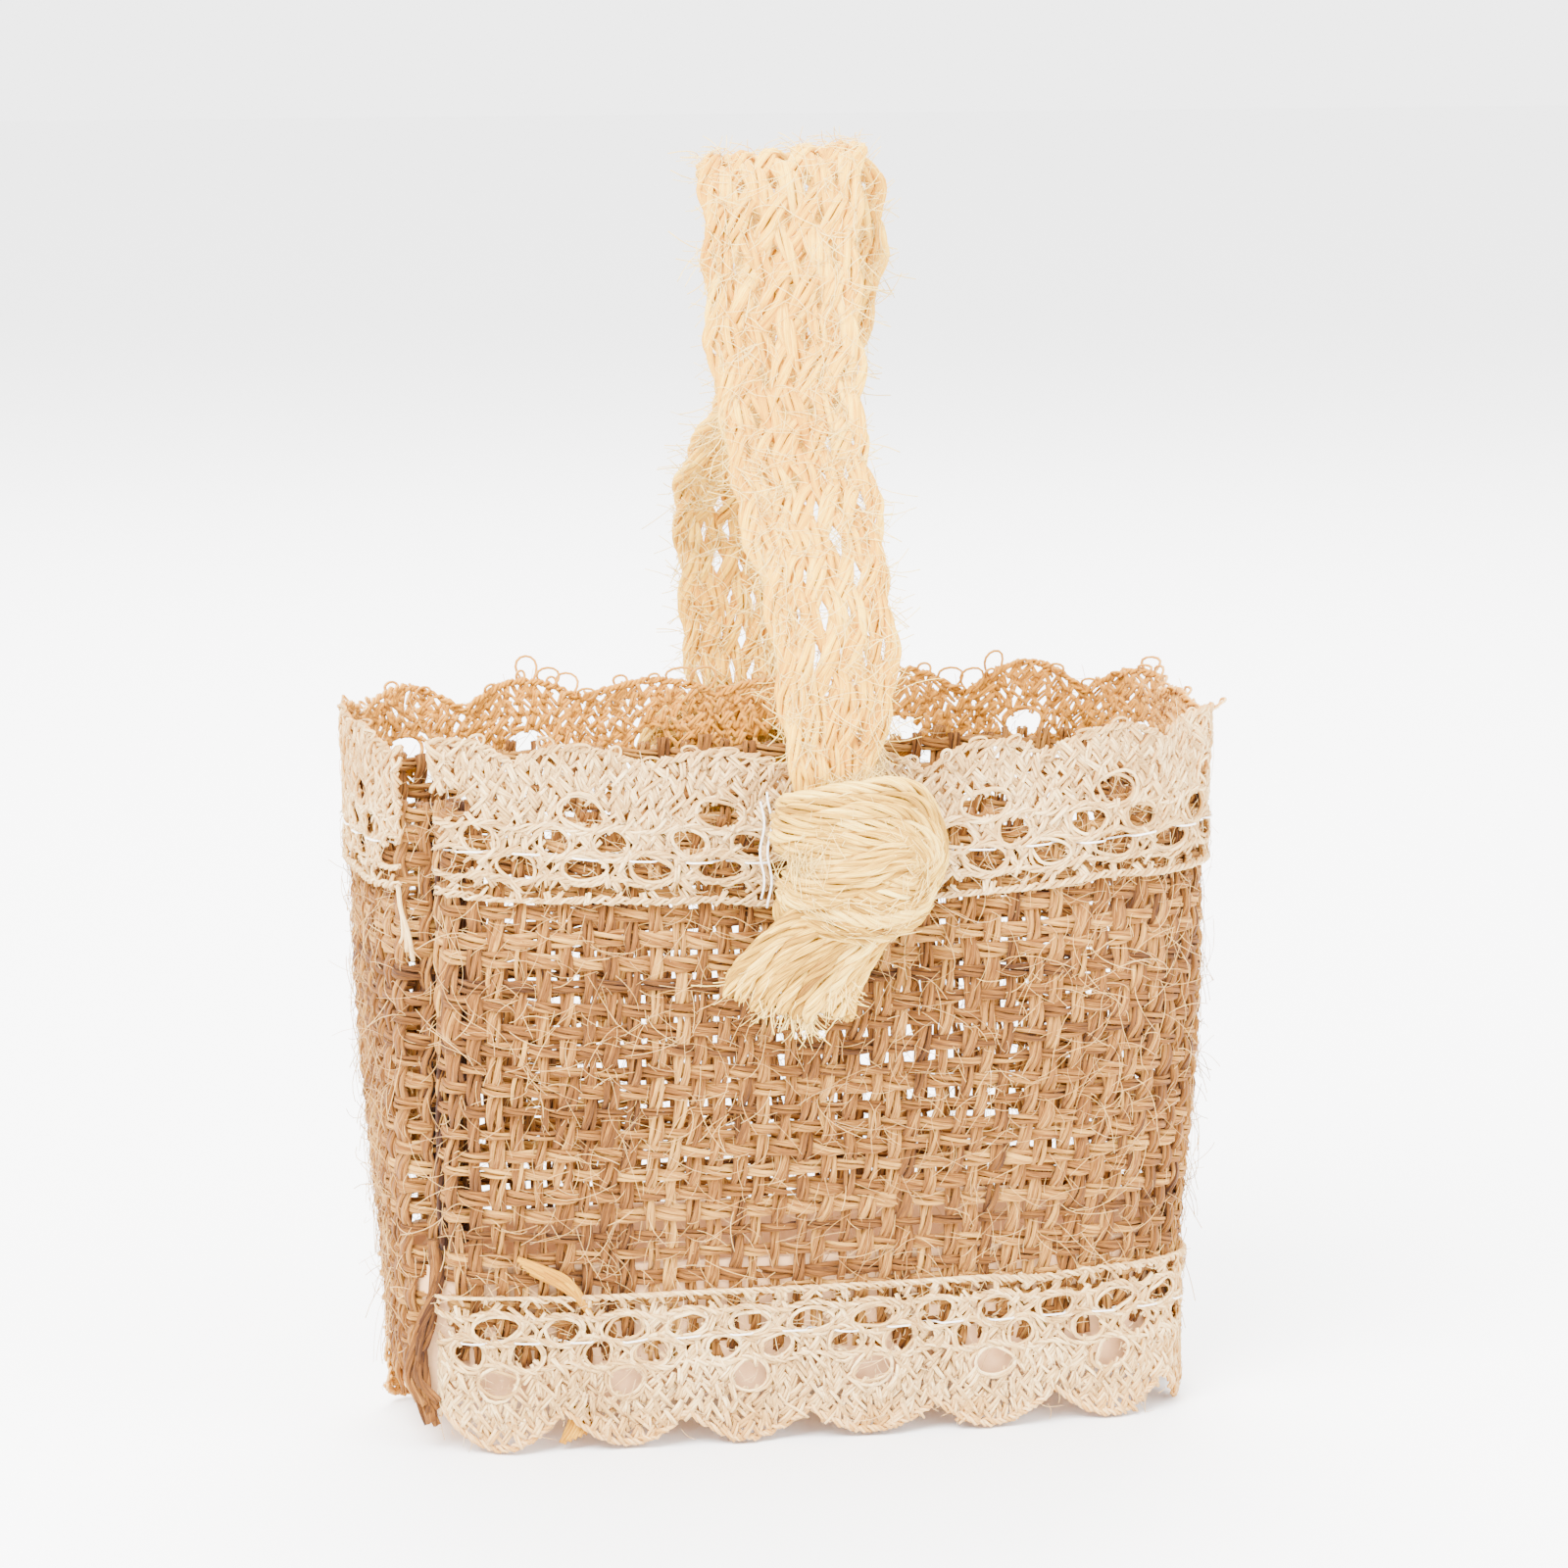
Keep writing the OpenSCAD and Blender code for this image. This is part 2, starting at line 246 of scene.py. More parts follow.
class Yarns:
    """Collects yarns and writes them as one mesh. All sizes are in millimetres."""

    def __init__(self, name, sides=6):
        self.name, self.sides, self.count, self.total = name, sides, 0, 0
        self.points, self.faces, self.yarn, self.tone, self.inside = [], [], [], [], []

    def add(self, path, width, thick=None, across=None, tone=None, warm=None):
        path = np.asarray(path, float)
        n, m = len(path), self.sides
        along = unit(np.gradient(path, axis=0))
        if across is None:
            across = np.cross(along, np.where(np.abs(along[:, 2:]) > 0.8, [[0, 1.0, 0]], [[0, 0, 1.0]]))
        across = unit(across - along * (across * along).sum(1, keepdims=True))
        up = np.cross(along, across)
        thick = width if thick is None else thick
        a = 2 * np.pi * (np.arange(m) + 0.5) / m
        w = np.broadcast_to(np.asarray(width, float), n)[:, None, None] / 2
        t = np.broadcast_to(np.asarray(thick, float), n)[:, None, None] / 2
        length = np.concatenate([[0], np.cumsum(np.linalg.norm(np.diff(path, axis=0), axis=1))])
        ring = path[:, None, :] + (across[:, None, :] * np.cos(a)[None, :, None] * w
                                   + up[:, None, :] * np.sin(a)[None, :, None] * t)
        start = self.total
        self.points.append(ring.reshape(-1, 3))
        i, k = np.meshgrid(np.arange(n - 1), np.arange(m), indexing="ij")
        k2 = (k + 1) % m
        quads = np.stack([i * m + k, i * m + k2, (i + 1) * m + k2, (i + 1) * m + k], -1).reshape(-1, 4)
        self.faces.append((quads + start, None))
        low_cap = tuple(start + np.arange(m)[::-1])
        high_cap = tuple(start + (n - 1) * m + np.arange(m))
        self.faces.append((None, [low_cap, high_cap]))
        shift = rng.uniform(-50, 50, 3)
        spot = np.stack([np.repeat(length, m) + shift[0], np.tile(np.cos(a), n) + shift[1],
                         np.tile(np.sin(a), n) + shift[2]], -1)
        self.yarn.append(spot)
        self.tone.append(np.full(n * m, rng.uniform(0, 1) if tone is None else tone))
        # How much each point faces into the basket, unless a warmth is given; the lace's finish mixes in its
        # painted orange bounce light by this amount.
        inward = np.tile(np.clip(0.5 + 0.8 * np.sin(a), 0, 1), n)
        self.inside.append(inward if warm is None else np.full(n * m, warm))
        self.total += n * m
        self.count += 1

    def add_plied(self, path, width, thick, across, plies=3, pitch=5.0, tone=None):
        """A yarn twisted from several thinner ones."""
        path = np.asarray(path, float)
        n = len(path)
        along = unit(np.gradient(path, axis=0))
        across = unit(across - along * (across * along).sum(1, keepdims=True))
        up = np.cross(along, across)
        w = np.broadcast_to(np.asarray(width, float), n)
        t = np.broadcast_to(np.asarray(thick, float), n)
        far = np.concatenate([[0], np.cumsum(np.linalg.norm(np.diff(path, axis=0), axis=1))])
        tone = rng.uniform(0, 1) if tone is None else tone
        start = rng.uniform(0, 6.28)
        fat = 2.0 / (plies + 0.5)
        for k in range(plies):
            a = 2 * np.pi * (far / pitch + k / plies) + start + smooth_noise(n, 18, 0.25)
            aside = np.cos(a) * w * (0.5 - fat / 2)
            lift = np.sin(a) * t * 0.28
            p = path + across * aside[:, None] + up * lift[:, None]
            self.add(p, w * fat * rng.uniform(0.9, 1.2), t * 0.52, across, tone + rng.normal(0, 0.3))

    def build(self, material, body="basket"):
        mesh = bpy.data.meshes.new(self.name)
        points = np.concatenate(self.points) * MM
        quads = np.concatenate([q for q, _ in self.faces if q is not None])
        caps = [c for _, cs in self.faces if cs is not None for c in cs]
        corners = np.concatenate([quads.ravel(), np.array(caps).ravel()]).astype(np.int32)
        sizes = np.concatenate([np.full(len(quads), 4), np.full(len(caps), self.sides)])
        starts = np.concatenate([[0], np.cumsum(sizes)[:-1]]).astype(np.int32)
        mesh.vertices.add(len(points))
        mesh.vertices.foreach_set("co", points.astype(np.float32).ravel())
        mesh.loops.add(len(corners))
        mesh.loops.foreach_set("vertex_index", corners)
        mesh.polygons.add(len(sizes))
        mesh.polygons.foreach_set("loop_start", starts)
        mesh.update(calc_edges=True)
        mesh.polygons.foreach_set("use_smooth", np.ones(len(sizes), bool))
        for key, kind, values in (("yarn", "FLOAT_VECTOR", self.yarn), ("tone", "FLOAT", self.tone),
                                  ("inside", "FLOAT", self.inside)):
            made = mesh.attributes.new(key, kind, "POINT")
            made.data.foreach_set("vector" if kind == "FLOAT_VECTOR" else "value",
                                  np.concatenate(values).astype(np.float32).ravel())
        mesh.materials.append(material)
        obj = bpy.data.objects.new(self.name, mesh)
        bpy.context.scene.collection.objects.link(obj)
        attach(obj, body)
        triangles = 2 * len(quads) + (self.sides - 2) * len(caps)
        print(f"{self.name}: {self.count} yarns, {triangles} triangles")
        return obj


def smooth_noise(n, step, size):
    """A slow random wave of n values that turns about once every step values."""
    knots = rng.normal(0, 1, max(4, int(n / step) + 4))
    x = np.linspace(0, len(knots) - 1.001, n)
    i = x.astype(int)
    f = x - i
    f = f * f * (3 - 2 * f)
    return size * (knots[i] * (1 - f) + knots[i + 1] * f)


# %% [markdown]
# ## The shape of the wall
# The wall is one strip of burlap. Seen from above it is a rounded box, and at the left front corner its two
# ends turn inwards and are sewn together, which leaves a soft valley. The strip narrows a little towards
# the foot, and its depth narrows more, so that the ends lean in. A single function gives the point and the
# outward direction for any distance along the strip and any height, and the weave, the stitches and both
# laces all use it.

# %% The plan and the surface
rim_z = box["upper_lace"][1][2]
wall_low, wall_high = box["burlap_wall"][0][2], box["burlap_wall"][1][2]
lace_w = box["lower_lace"][1][2] - box["lower_lace"][0][2]
LACE_T = 1.4
half_w = box["upper_lace"][1][0] - LACE_T
half_d = box["upper_lace"][1][1] - LACE_T
TAPER = 0.94
FOOT_DEPTH = 0.64
SQUARE = 4.0
FOLD = 5.0
SEAM_TURN = 212.0


def shrink(z):
    return 1 - (1 - TAPER) * (rim_z - z) / rim_z


def shrink_deep(z):
    """The depth stays full down to the middle, narrows quickly and is small at the foot."""
    t = np.clip((np.asarray(z, float) - 0.2 * rim_z) / (0.48 * rim_z), 0, 1)
    return FOOT_DEPTH + (1 - FOOT_DEPTH) * (0.12 * np.clip(np.asarray(z, float) / rim_z, 0, 1)
                                           + 0.88 * t * t * (3 - 2 * t))


def plan_curve():
    """The rounded box as evenly spaced points round it, from the joined corner along the front, with the
    distance along it to each point.
    """
    t = np.radians(SEAM_TURN + 360 * np.linspace(0, 1, 4001))
    c, s = np.cos(t), np.sin(t)
    x = half_w * np.sign(c) * np.abs(c) ** (2 / SQUARE)
    y = half_d * np.sign(s) * np.abs(s) ** (2 / SQUARE)
    ring = np.stack([x, y], 1)
    far = np.concatenate([[0], np.cumsum(np.linalg.norm(np.diff(ring, axis=0), axis=1))])
    even = np.linspace(0, far[-1], 3001)
    return np.stack([np.interp(even, far, x), np.interp(even, far, y)], 1), even


PLAN, PLAN_S = plan_curve()
PERIMETER = PLAN_S[-1]
tangent = unit(np.gradient(PLAN, axis=0))
tangent[0] = tangent[-1] = unit(tangent[1] + tangent[-2])
PLAN_N = np.stack([tangent[:, 1], -tangent[:, 0]], 1)


def wobble(s, z):
    """The slow waves of a soft wall."""
    a = 2 * np.pi * s / PERIMETER
    up = np.clip((z - wall_low) / (wall_high - wall_low), -0.2, 1.1)
    belly = 1.3 * np.sin(np.pi * np.clip(up, 0, 1)) ** 1.2
    wave = 0.45 * np.sin(3 * a + 0.7 + 0.03 * z) + 0.35 * np.sin(5 * a + 2.1 - 0.06 * z)
    return belly * 0.8 + wave * (0.4 + 0.6 * np.clip(up, 0, 1)) - 0.6


def valley(s):
    """How far the wall dips in beside the joined corner."""
    d = np.minimum(np.mod(s, PERIMETER), PERIMETER - np.mod(s, PERIMETER))
    return -2.6 * np.exp(-(d / 2.0) ** 2)


def sag(s, z):
    """The rim dips towards the middle of the front, where the knot pulls it, and stands at the corners."""
    x = np.interp(np.mod(s, PERIMETER), PLAN_S, PLAN[:, 0]) / half_w
    y = np.interp(np.mod(s, PERIMETER), PLAN_S, PLAN[:, 1])
    front = 0.5 - 0.5 * np.tanh(y / 8)
    dip = np.cos(np.clip(x, -1, 1) * np.pi / 2) ** 2
    return -2.2 * dip * (0.25 + 0.75 * front) * np.clip(z / rim_z, 0, 1) ** 1.5


def surface(s, z, out, dip=1.0):
    """Points at distance s along the strip and height z, moved out from the wall's middle."""
    s, z, out = np.broadcast_arrays(np.asarray(s, float), np.asarray(z, float), np.asarray(out, float))
    r = np.mod(s, PERIMETER)
    x = np.interp(r, PLAN_S, PLAN[:, 0])
    y = np.interp(r, PLAN_S, PLAN[:, 1])
    nx = np.interp(r, PLAN_S, PLAN_N[:, 0])
    ny = np.interp(r, PLAN_S, PLAN_N[:, 1])
    o = out + wobble(s, z) + dip * valley(s) - 0.6
    return np.stack([x * shrink(z) + nx * o, y * shrink_deep(z) + ny * o, z + sag(s, z)], -1)


def outward(s):
    r = np.mod(np.asarray(s, float), PERIMETER)
    n = np.stack([np.interp(r, PLAN_S, PLAN_N[:, 0]), np.interp(r, PLAN_S, PLAN_N[:, 1]), 0 * r], -1)
    return unit(n)


print("the strip is", round(PERIMETER, 1), "mm round and", round(wall_high - wall_low, 1), "mm high")

# %% [markdown]
# ## The weave
# Burlap is a plain weave: each upright yarn goes over one cross yarn and under the next, and its neighbour
# does the opposite. The yarns are uneven, with thick and thin places, so some holes are wide and some are
# closed. Each yarn is made with its own crimp, drift and width. Real yarns are used and not a texture,
# because light comes through the holes.

# %% Upright and cross yarns
PITCH = 2.5
columns = 2 * round(PERIMETER / PITCH / 2)
rows = round((wall_high - wall_low) / PITCH)
step_s = PERIMETER / columns
step_z = (wall_high - wall_low - 0.8) / rows
CRIMP = 0.34
PLIES, TWIST = 5, 15.0
BARE = 30.0


def yarn_width(n, crossings):
    """Thick and thin places along a yarn."""
    w = 1.54 + smooth_noise(n, 4 * crossings, 0.2) + smooth_noise(n, 7, 0.12)
    w += rng.normal(0, 0.2)
    for _ in range(rng.poisson(0.6)):
        w = w + 0.6 * np.exp(-((np.arange(n) - rng.uniform(0, n)) / rng.uniform(6, 16)) ** 2)
    return np.clip(w, 0.9, 2.5)


def fold_yarn(made, depth, side):
    """An upright yarn in the allowance that is turned in at the joined corner. Its tone is set low, so it is
    darker: painted shade in the corner's valley.
    """
    z = np.linspace(wall_low + 12, wall_high - 0.5, 60)
    path = surface(0.0, z, -depth + smooth_noise(60, 15, 0.3), 1.0)
    path[:, :2] += side * np.array([tangent[0][0], tangent[0][1]])
    across = np.tile([PLAN_N[0, 0], PLAN_N[0, 1], 0], (60, 1))
    # The low tone darkens these yarns: painted shade in the corner's valley.
    made.add_plied(path, yarn_width(60, 5), 1.0, across, PLIES, TWIST, rng.uniform(-1.2, 0.2))


def upright_yarn(made, i):
    s0 = (i + 0.5) * step_s
    n = 78
    low = wall_low - 0.4 + rng.uniform(-0.8, 0.3)
    if s0 > PERIMETER - BARE:
        low -= rng.uniform(1.0, 6.5)
    z = np.linspace(low, wall_high + rng.uniform(-0.6, 0.8), n)
    j = (z - wall_low - 0.4) / step_z - 0.5
    out = CRIMP * np.cos(np.pi * j) * (-1) ** i
    s = s0 + smooth_noise(n, 20, 0.26) + smooth_noise(n, 7, 0.1)
    s = s + np.clip((wall_low - z) / 8, 0, 1) * rng.normal(0, 2.0)
    across = np.cross(outward(s), [0, 0, 1.0])
    made.add_plied(surface(s, z, out), yarn_width(n, 5), 0.95, across, PLIES, TWIST)


def cross_yarn(made, j):
    n = int(columns * 3.5)
    s = np.linspace(0.9, PERIMETER - 0.9, n)
    z = wall_low + 0.4 + (j + 0.5) * step_z + smooth_noise(n, 45, 0.26) + smooth_noise(n, 8, 0.09)
    out = -CRIMP * np.cos(np.pi * (s / step_s - 0.5)) * (-1) ** j
    w = yarn_width(n, 9)
    path = surface(s, z, out)
    flap = FOLD if z[0] > wall_low + 13 else 1.5
    inward = -unit(np.array([PLAN_N[0, 0], PLAN_N[0, 1], 0]))
    depth = np.linspace(flap, 0.6, 6)[:, None]
    path = np.concatenate([path[0] + depth * inward, path, path[-1] + depth[::-1] * inward])
    w = np.concatenate([np.full(6, w[0]), w, np.full(6, w[-1])])
    made.add_plied(path, w, 0.9, np.tile([0, 0, 1.0], (len(path), 1)), PLIES, TWIST)


wall_yarns = []
for name, count, yarn in (("upright", columns, upright_yarn), ("cross", rows, cross_yarn)):
    for turn, word in enumerate(("even", "odd")):
        made = Yarns(f"wall_{name}_yarns_{word}", 4)
        for i in range(turn, count, 2):
            yarn(made, i)
        if name == "upright":
            for depth in (-0.6, 1.2, 3.0, 4.6):
                fold_yarn(made, depth + 0.4 * turn, 0.9 - 1.8 * turn)
        wall_yarns.append(made.build(BURLAP))

# %% [markdown]
# ## Loose fibres
# Jute sheds: short pale hairs stand off every yarn and catch the light. Each is a very thin curved tube
# that starts in the wall and lies nearly flat on it. They are what makes burlap look dry and rough, so they
# are made as geometry too, with a fixed random seed.

# %% Hairs on the wall
WALL_HAIRS, LONGEST_WALL_HAIR = 6200, 6.0


def hair_path(root, heading, normal, length, curl, points=6):
    t = np.linspace(0, 1, points)[:, None]
    side = np.cross(heading, normal)
    bend = np.clip(rng.normal(0, curl), -1, 1)
    lift = rng.uniform(0.02, 0.18)
    return (root + heading * length * t + side * bend * length * t ** 2
            + normal * length * lift * np.sin(np.pi * t * rng.uniform(0.5, 1.0)))


wall_fuzz = Yarns("wall_fuzz", 3)
for _ in range(WALL_HAIRS):
    s, z = rng.uniform(0, PERIMETER), rng.uniform(wall_low, wall_high)
    normal = outward(s)
    sign = -1 if rng.uniform() < 0.25 else 1
    heading = unit(np.cross(normal, [0, 0, 1.0]) * rng.normal(0, 1) + np.array([0, 0, rng.normal(0, 1)])
                   + 0.1 * normal * sign)
    length = min(rng.gamma(3, 0.98), LONGEST_WALL_HAIR)
    path = hair_path(surface(s, z, 0.5 * sign), heading, normal * sign, length, 0.9)
    path[:, 2] = np.maximum(path[:, 2], 0.2)
    wall_fuzz.add(path, rng.uniform(0.05, 0.11))
fuzz = wall_fuzz.build(BURLAP_FUZZ)
for yarns in wall_yarns:
    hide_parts("burlap_wall")

# %% [markdown]
# ## The card base
# A smooth tray of pinkish-beige card sits in the foot and keeps it open. It shows through the lowest holes
# of the weave. It is a sheet with a turned-up rim, so its outline is the same rounded box, drawn a little
# smaller.

# %% The tray
def tray():
    z0, z1 = box["base_card"][0][2], box["base_card"][1][2]
    s = np.linspace(0, PERIMETER, 161)[:-1]
    loops = []
    for z, out, scale in ((z0, -1.4, 0), (z0, -1.4, 1), (z1, -1.4, 1), (z1, -2.2, 1), (z0 + 0.9, -2.2, 1),
                          (z0 + 0.9, -2.2, 0)):
        r = np.stack([np.interp(s, PLAN_S, PLAN[:, 0]) * shrink(z),
                      np.interp(s, PLAN_S, PLAN[:, 1]) * shrink_deep(z)], 1)
        r = (r + np.stack([np.interp(s, PLAN_S, PLAN_N[:, 0]), np.interp(s, PLAN_S, PLAN_N[:, 1])], 1) * out)
        loops.append(np.concatenate([r * max(scale, 0.02), np.full((len(s), 1), z)], 1))
    n = len(s)
    points = np.concatenate(loops) * MM
    faces = [[a * n + i, a * n + (i + 1) % n, (a + 1) * n + (i + 1) % n, (a + 1) * n + i]
             for a in range(len(loops) - 1) for i in range(n)]
    faces += [list(range(n))[::-1], [5 * n + i for i in range(n)]]
    mesh = bpy.data.meshes.new("base_tray")
    mesh.from_pydata(points.tolist(), [], faces)
    mesh.update()
    obj = bpy.data.objects.new("base_tray", mesh)
    bpy.context.scene.collection.objects.link(obj)
    return obj


card = bpy.data.materials.new("smooth_card")
card.use_nodes = True
card_wire = Wire(card.node_tree, None)
grain = card_wire.node("ShaderNodeTexCoord", out="Object").noise(1200.0, 3.0)
card_shader = card.node_tree.nodes["Principled BSDF"]
card_wire.put(card_shader.inputs["Base Color"], grain.mix(linear(212, 158, 104), linear(230, 184, 136)))
card_wire.put(card_shader.inputs["Roughness"], grain * 0.15 + 0.7)
base = tray()
base.data.materials.append(card)
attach(base, "basket")
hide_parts("base_card")
print("the tray is", round((box["base_card"][1][2] - box["base_card"][0][2]), 1), "mm deep")

# %% [markdown]
# ## Crocheted lace
# The lace is a cotton ribbon with one straight and one scalloped edge. From the straight edge it has a
# chain, a row of small slits, a row of wide ovals, a row of round holes in pairs and one large oval in the
# middle of each scallop, and the rest is filled with slanted stitches that pair up into a herringbone. It
# is laid out flat, as distance along and height above the straight edge, and then wrapped on the wall. Fat
# short stitches fill it, rings of cord edge the holes, and chains run along the bands.

# %% One ribbon of lace
REPEAT = 14.6
LACE_HAIRS = 1500
DEEP = {"low": 3.4, "high": 2.6}


def scallop(s, kind):
    k = np.round(s / REPEAT)
    uneven = 1 + 0.25 * np.sin(5.1 * k + (2 if kind == "low" else 0))
    return lace_w - 0.6 - DEEP[kind] * uneven * (1 - np.abs(np.cos(np.pi * s / REPEAT)) ** 0.9)


def holes(s):
    """The holes near one place along the ribbon: middle along, middle height, half length, half height."""
    base_s = REPEAT * np.round(s / REPEAT)
    found = [(base_s + 3.15 * k, 6.75, 1.75, 1.45) for k in (-1, 1)] + [(base_s, 9.95, 2.3, 1.55)]
    found += [(base_s + k * REPEAT / 2, 3.95, 2.25, 1.35) for k in (-1, 0, 1)]
    found += [(base_s + (k + 0.5) * REPEAT / 4, 1.45, 1.25, 0.75) for k in (-3, -2, -1, 0, 1, 2)]
    return found


def in_hole(s, h, grow):
    return any(((s - cs) / (a + grow)) ** 2 + ((h - ch) / (b + grow)) ** 2 < 1 for cs, ch, a, b in holes(s))


def lace_paths(first, last, kind):
    """Yields points as (along, height, out), then the width, thickness and warmth of each little yarn. The
    warmth is how far the yarn is tinted towards the orange-brown that the lace's finish uses as painted
    bounce light on its inward faces.
    """
    column = 0.82
    for c in range(int((last - first) / column)):
        s = first + (c + 0.5) * column
        for r, h in enumerate(np.arange(0.5 + 0.25 * (c % 2), lace_w, 1.02)):
            if h > scallop(s, kind) - 0.3 or in_hole(s, h, 0.45):
                continue
            lean = 0.5 * (-1) ** (c + (r // 4)) + rng.normal(0, 0.28)
            j = rng.normal(0, 0.15, 3)
            t = np.linspace(-1, 1, 4)
            # Stitches in the lowest 4.5 mm of the lower lace are tinted towards that same orange-brown, more
            # the nearer the scalloped edge.
            warm = 0.42 * np.clip((h - lace_w + 4.5) / 4, 0, 1) if kind == "low" else 0.0
            for k in (-1, 1):
                x = s + lean * t + 0.15 * k + j[0]
                up = h + rng.uniform(0.68, 0.9) * t + j[1] + 0.1 * k
                raised = 0.2 * (1 - t ** 2) + 0.1 * k * t + j[2]
                yield np.stack([x, up, raised], 1), rng.uniform(0.36, 0.58), 0.4, warm
    n = int((last - first) / 0.4)
    s = np.linspace(first, last, n)
    around = np.cos(4 * np.pi * s / REPEAT)
    for h, size, wave, bend in ((0.35, 0.3, 2.1, 0.0), (2.5, 0.2, 2.4, -0.35), (5.35, 0.18, 3.3, 0.5),
                                (8.25, 0.2, 3.65, -0.35)):
        wander = h + bend * around + smooth_noise(n, 26, 0.12)
        for phase in (0, np.pi * 0.66, np.pi * 1.33):
            a = 2 * np.pi * s / wave + phase + smooth_noise(n, 14, 0.5)
            up = wander + size * np.sin(a) + smooth_noise(n, 12, 0.1)
            yield np.stack([s, up, 0.2 + 0.2 * np.cos(a)], 1), 0.42, 0.4, 0.0
    for phase in (0, np.pi * 0.66, np.pi * 1.33):
        a = 2 * np.pi * s / 1.9 + phase + smooth_noise(n, 14, 0.5)
        up = scallop(s, kind) + 0.3 * np.sin(a) + smooth_noise(n, 10, 0.1)
        yield np.stack([s, up, 0.1 + 0.22 * np.cos(a)], 1), 0.46, 0.44, 0.4 if kind == "low" else 0.0
    turn = np.linspace(0, 2 * np.pi, 17)
    for k in range(int(first / REPEAT) - 1, int(last / REPEAT) + 2):
        for cs, ch, a, b in [x for x in holes(k * REPEAT) if x[1] > 2 and x[0] > k * REPEAT - REPEAT * 0.4]:
            if cs < first + a + 0.5 or cs > last - a - 0.5:
                continue
            for grow in (0.1, 0.38):
                bent = 1 + rng.normal(0, 0.06) + 0.1 * np.sin(2 * turn + rng.uniform(0, 6.3)) \
                    + 0.06 * np.sin(3 * turn + rng.uniform(0, 6.3))
                x = cs + (a + grow) * bent * np.cos(turn + 0.1)
                up = ch + (b + grow) * bent * np.sin(turn)
                raised = 0.25 + 0.15 * np.cos(3 * turn + rng.uniform(0, 6))
                yield np.stack([x, up, raised], 1), 0.5, 0.42, 0.0


def lace(name, first, last, height, kind, out, loops):
    """A ribbon on the wall from first to last along the strip, with its scallops up (high) or down (low)."""
    stitches, cords = Yarns(name + "_stitches", 4), Yarns(name + "_cords", 4)
    phase = 2.0 if kind == "high" else 7.7
    sign = 1 if kind == "high" else -1
    places = np.linspace(first, last, 90)
    drift = [smooth_noise(90, 3, 0.22) for _ in range(4)]

    def put(made, path, width, thick, warm=0.0):
        at = first + phase + path[:, 0]
        up = path[:, 1] / lace_w
        s = at + np.interp(at, places, drift[0]) * (1 - up) + np.interp(at, places, drift[1]) * up
        h = path[:, 1] + (np.interp(at, places, drift[2]) * (1 - up) + np.interp(at, places, drift[3]) * up)
        s = np.clip(s, first, last)
        z = height + sign * np.maximum(h, 0.1)
        points = surface(s, z, out(s, z) + path[:, 2], 0.35)
        points[:, 2] = np.clip(points[:, 2], 0.25, rim_z + 4)
        made.add(points, width, thick, np.cross(np.gradient(points, axis=0), outward(s)))
        # The warmth raises the orange-brown tint; on inward faces that tint is painted bounce light.
        made.inside[-1] = np.maximum(made.inside[-1], warm)

    for path, width, thick, warm in lace_paths(-phase, last - first - phase, kind):
        put(stitches if len(path) == 4 else cords, path, width, thick, warm)
    for cs, tall, wide in loops:
        t = np.linspace(0, 2 * np.pi, 15)
        x = cs - phase
        top = scallop(np.array([x]), kind)[0]
        along = x + wide * np.sin(t) * (1 - 0.3 * np.cos(t))
        up = top + tall * 0.5 * (1 - np.cos(t)) - 0.3
        raised = rng.normal(0, 0.5) * np.sin(t / 2) + 0.2 * np.sin(2 * t)
        put(cords, np.stack([along, up, raised], 1), 0.36, 0.36)
    for _ in range(LACE_HAIRS):
        x, h = rng.uniform(0, last - first), rng.uniform(0, lace_w - 2)
        angle, reach = rng.uniform(0, 2 * np.pi), rng.gamma(3, 0.45)
        t = np.linspace(0, 1, 5)
        bend = rng.normal(0, 0.6)
        put(cords, np.stack([x - phase + reach * (np.cos(angle) * t - bend * np.sin(angle) * t * t),
                            h + reach * (np.sin(angle) * t + bend * np.cos(angle) * t * t),
                            0.45 + 0.3 * rng.uniform() * np.sin(np.pi * t)], 1), 0.07, 0.07)
    return stitches.build(COTTON), cords.build(COTTON)


def ripple(s):
    return 0.35 * np.sin(0.33 * s + 1) + 0.25 * np.sin(0.71 * s)


def upper_out(s, z):
    flare = np.clip((z - wall_high) / 7, 0, 1)
    return 1.05 + 0.1 * ripple(s) + flare * (1.3 * ripple(s) - 0.4 + 0.5 * np.sin(2 * np.pi * s / REPEAT))


def lower_out(s, z):
    return 1.05 + 0.1 * ripple(s) + np.clip((wall_low - z) / 10, 0, 1) * (0.6 + ripple(s + 9))


upper_loops = [(s, rng.uniform(0.5, 1.6), rng.uniform(0.5, 1.0)) for s in np.arange(5, PERIMETER - 6, 3.9)]
upper_loops += [(0.64 * PERIMETER + d, rng.uniform(2.0, 3.4), rng.uniform(0.9, 1.5))
                for d in (-44, -41.5, -22, -19.5, -17, 12, 14.5, 27, 29.5, 32)]
upper_lace = lace("upper_lace", 2.0, PERIMETER - 2.4, rim_z - lace_w + 0.3, "high", upper_out, upper_loops)
lower_lace = lace("lower_lace", 0.8, PERIMETER - BARE, lace_w + 0.2, "low", lower_out, [])
for upper_part, lower_part in zip(upper_lace, lower_lace):
    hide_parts("upper_lace")
    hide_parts("lower_lace")

# %% [markdown]
# ## Sewing thread
# A thin white thread runs along each lace through its row of ovals and dips behind a bar now and then. It
# is a single path whose height above the lace falls and rises, which is how a running stitch really lies.

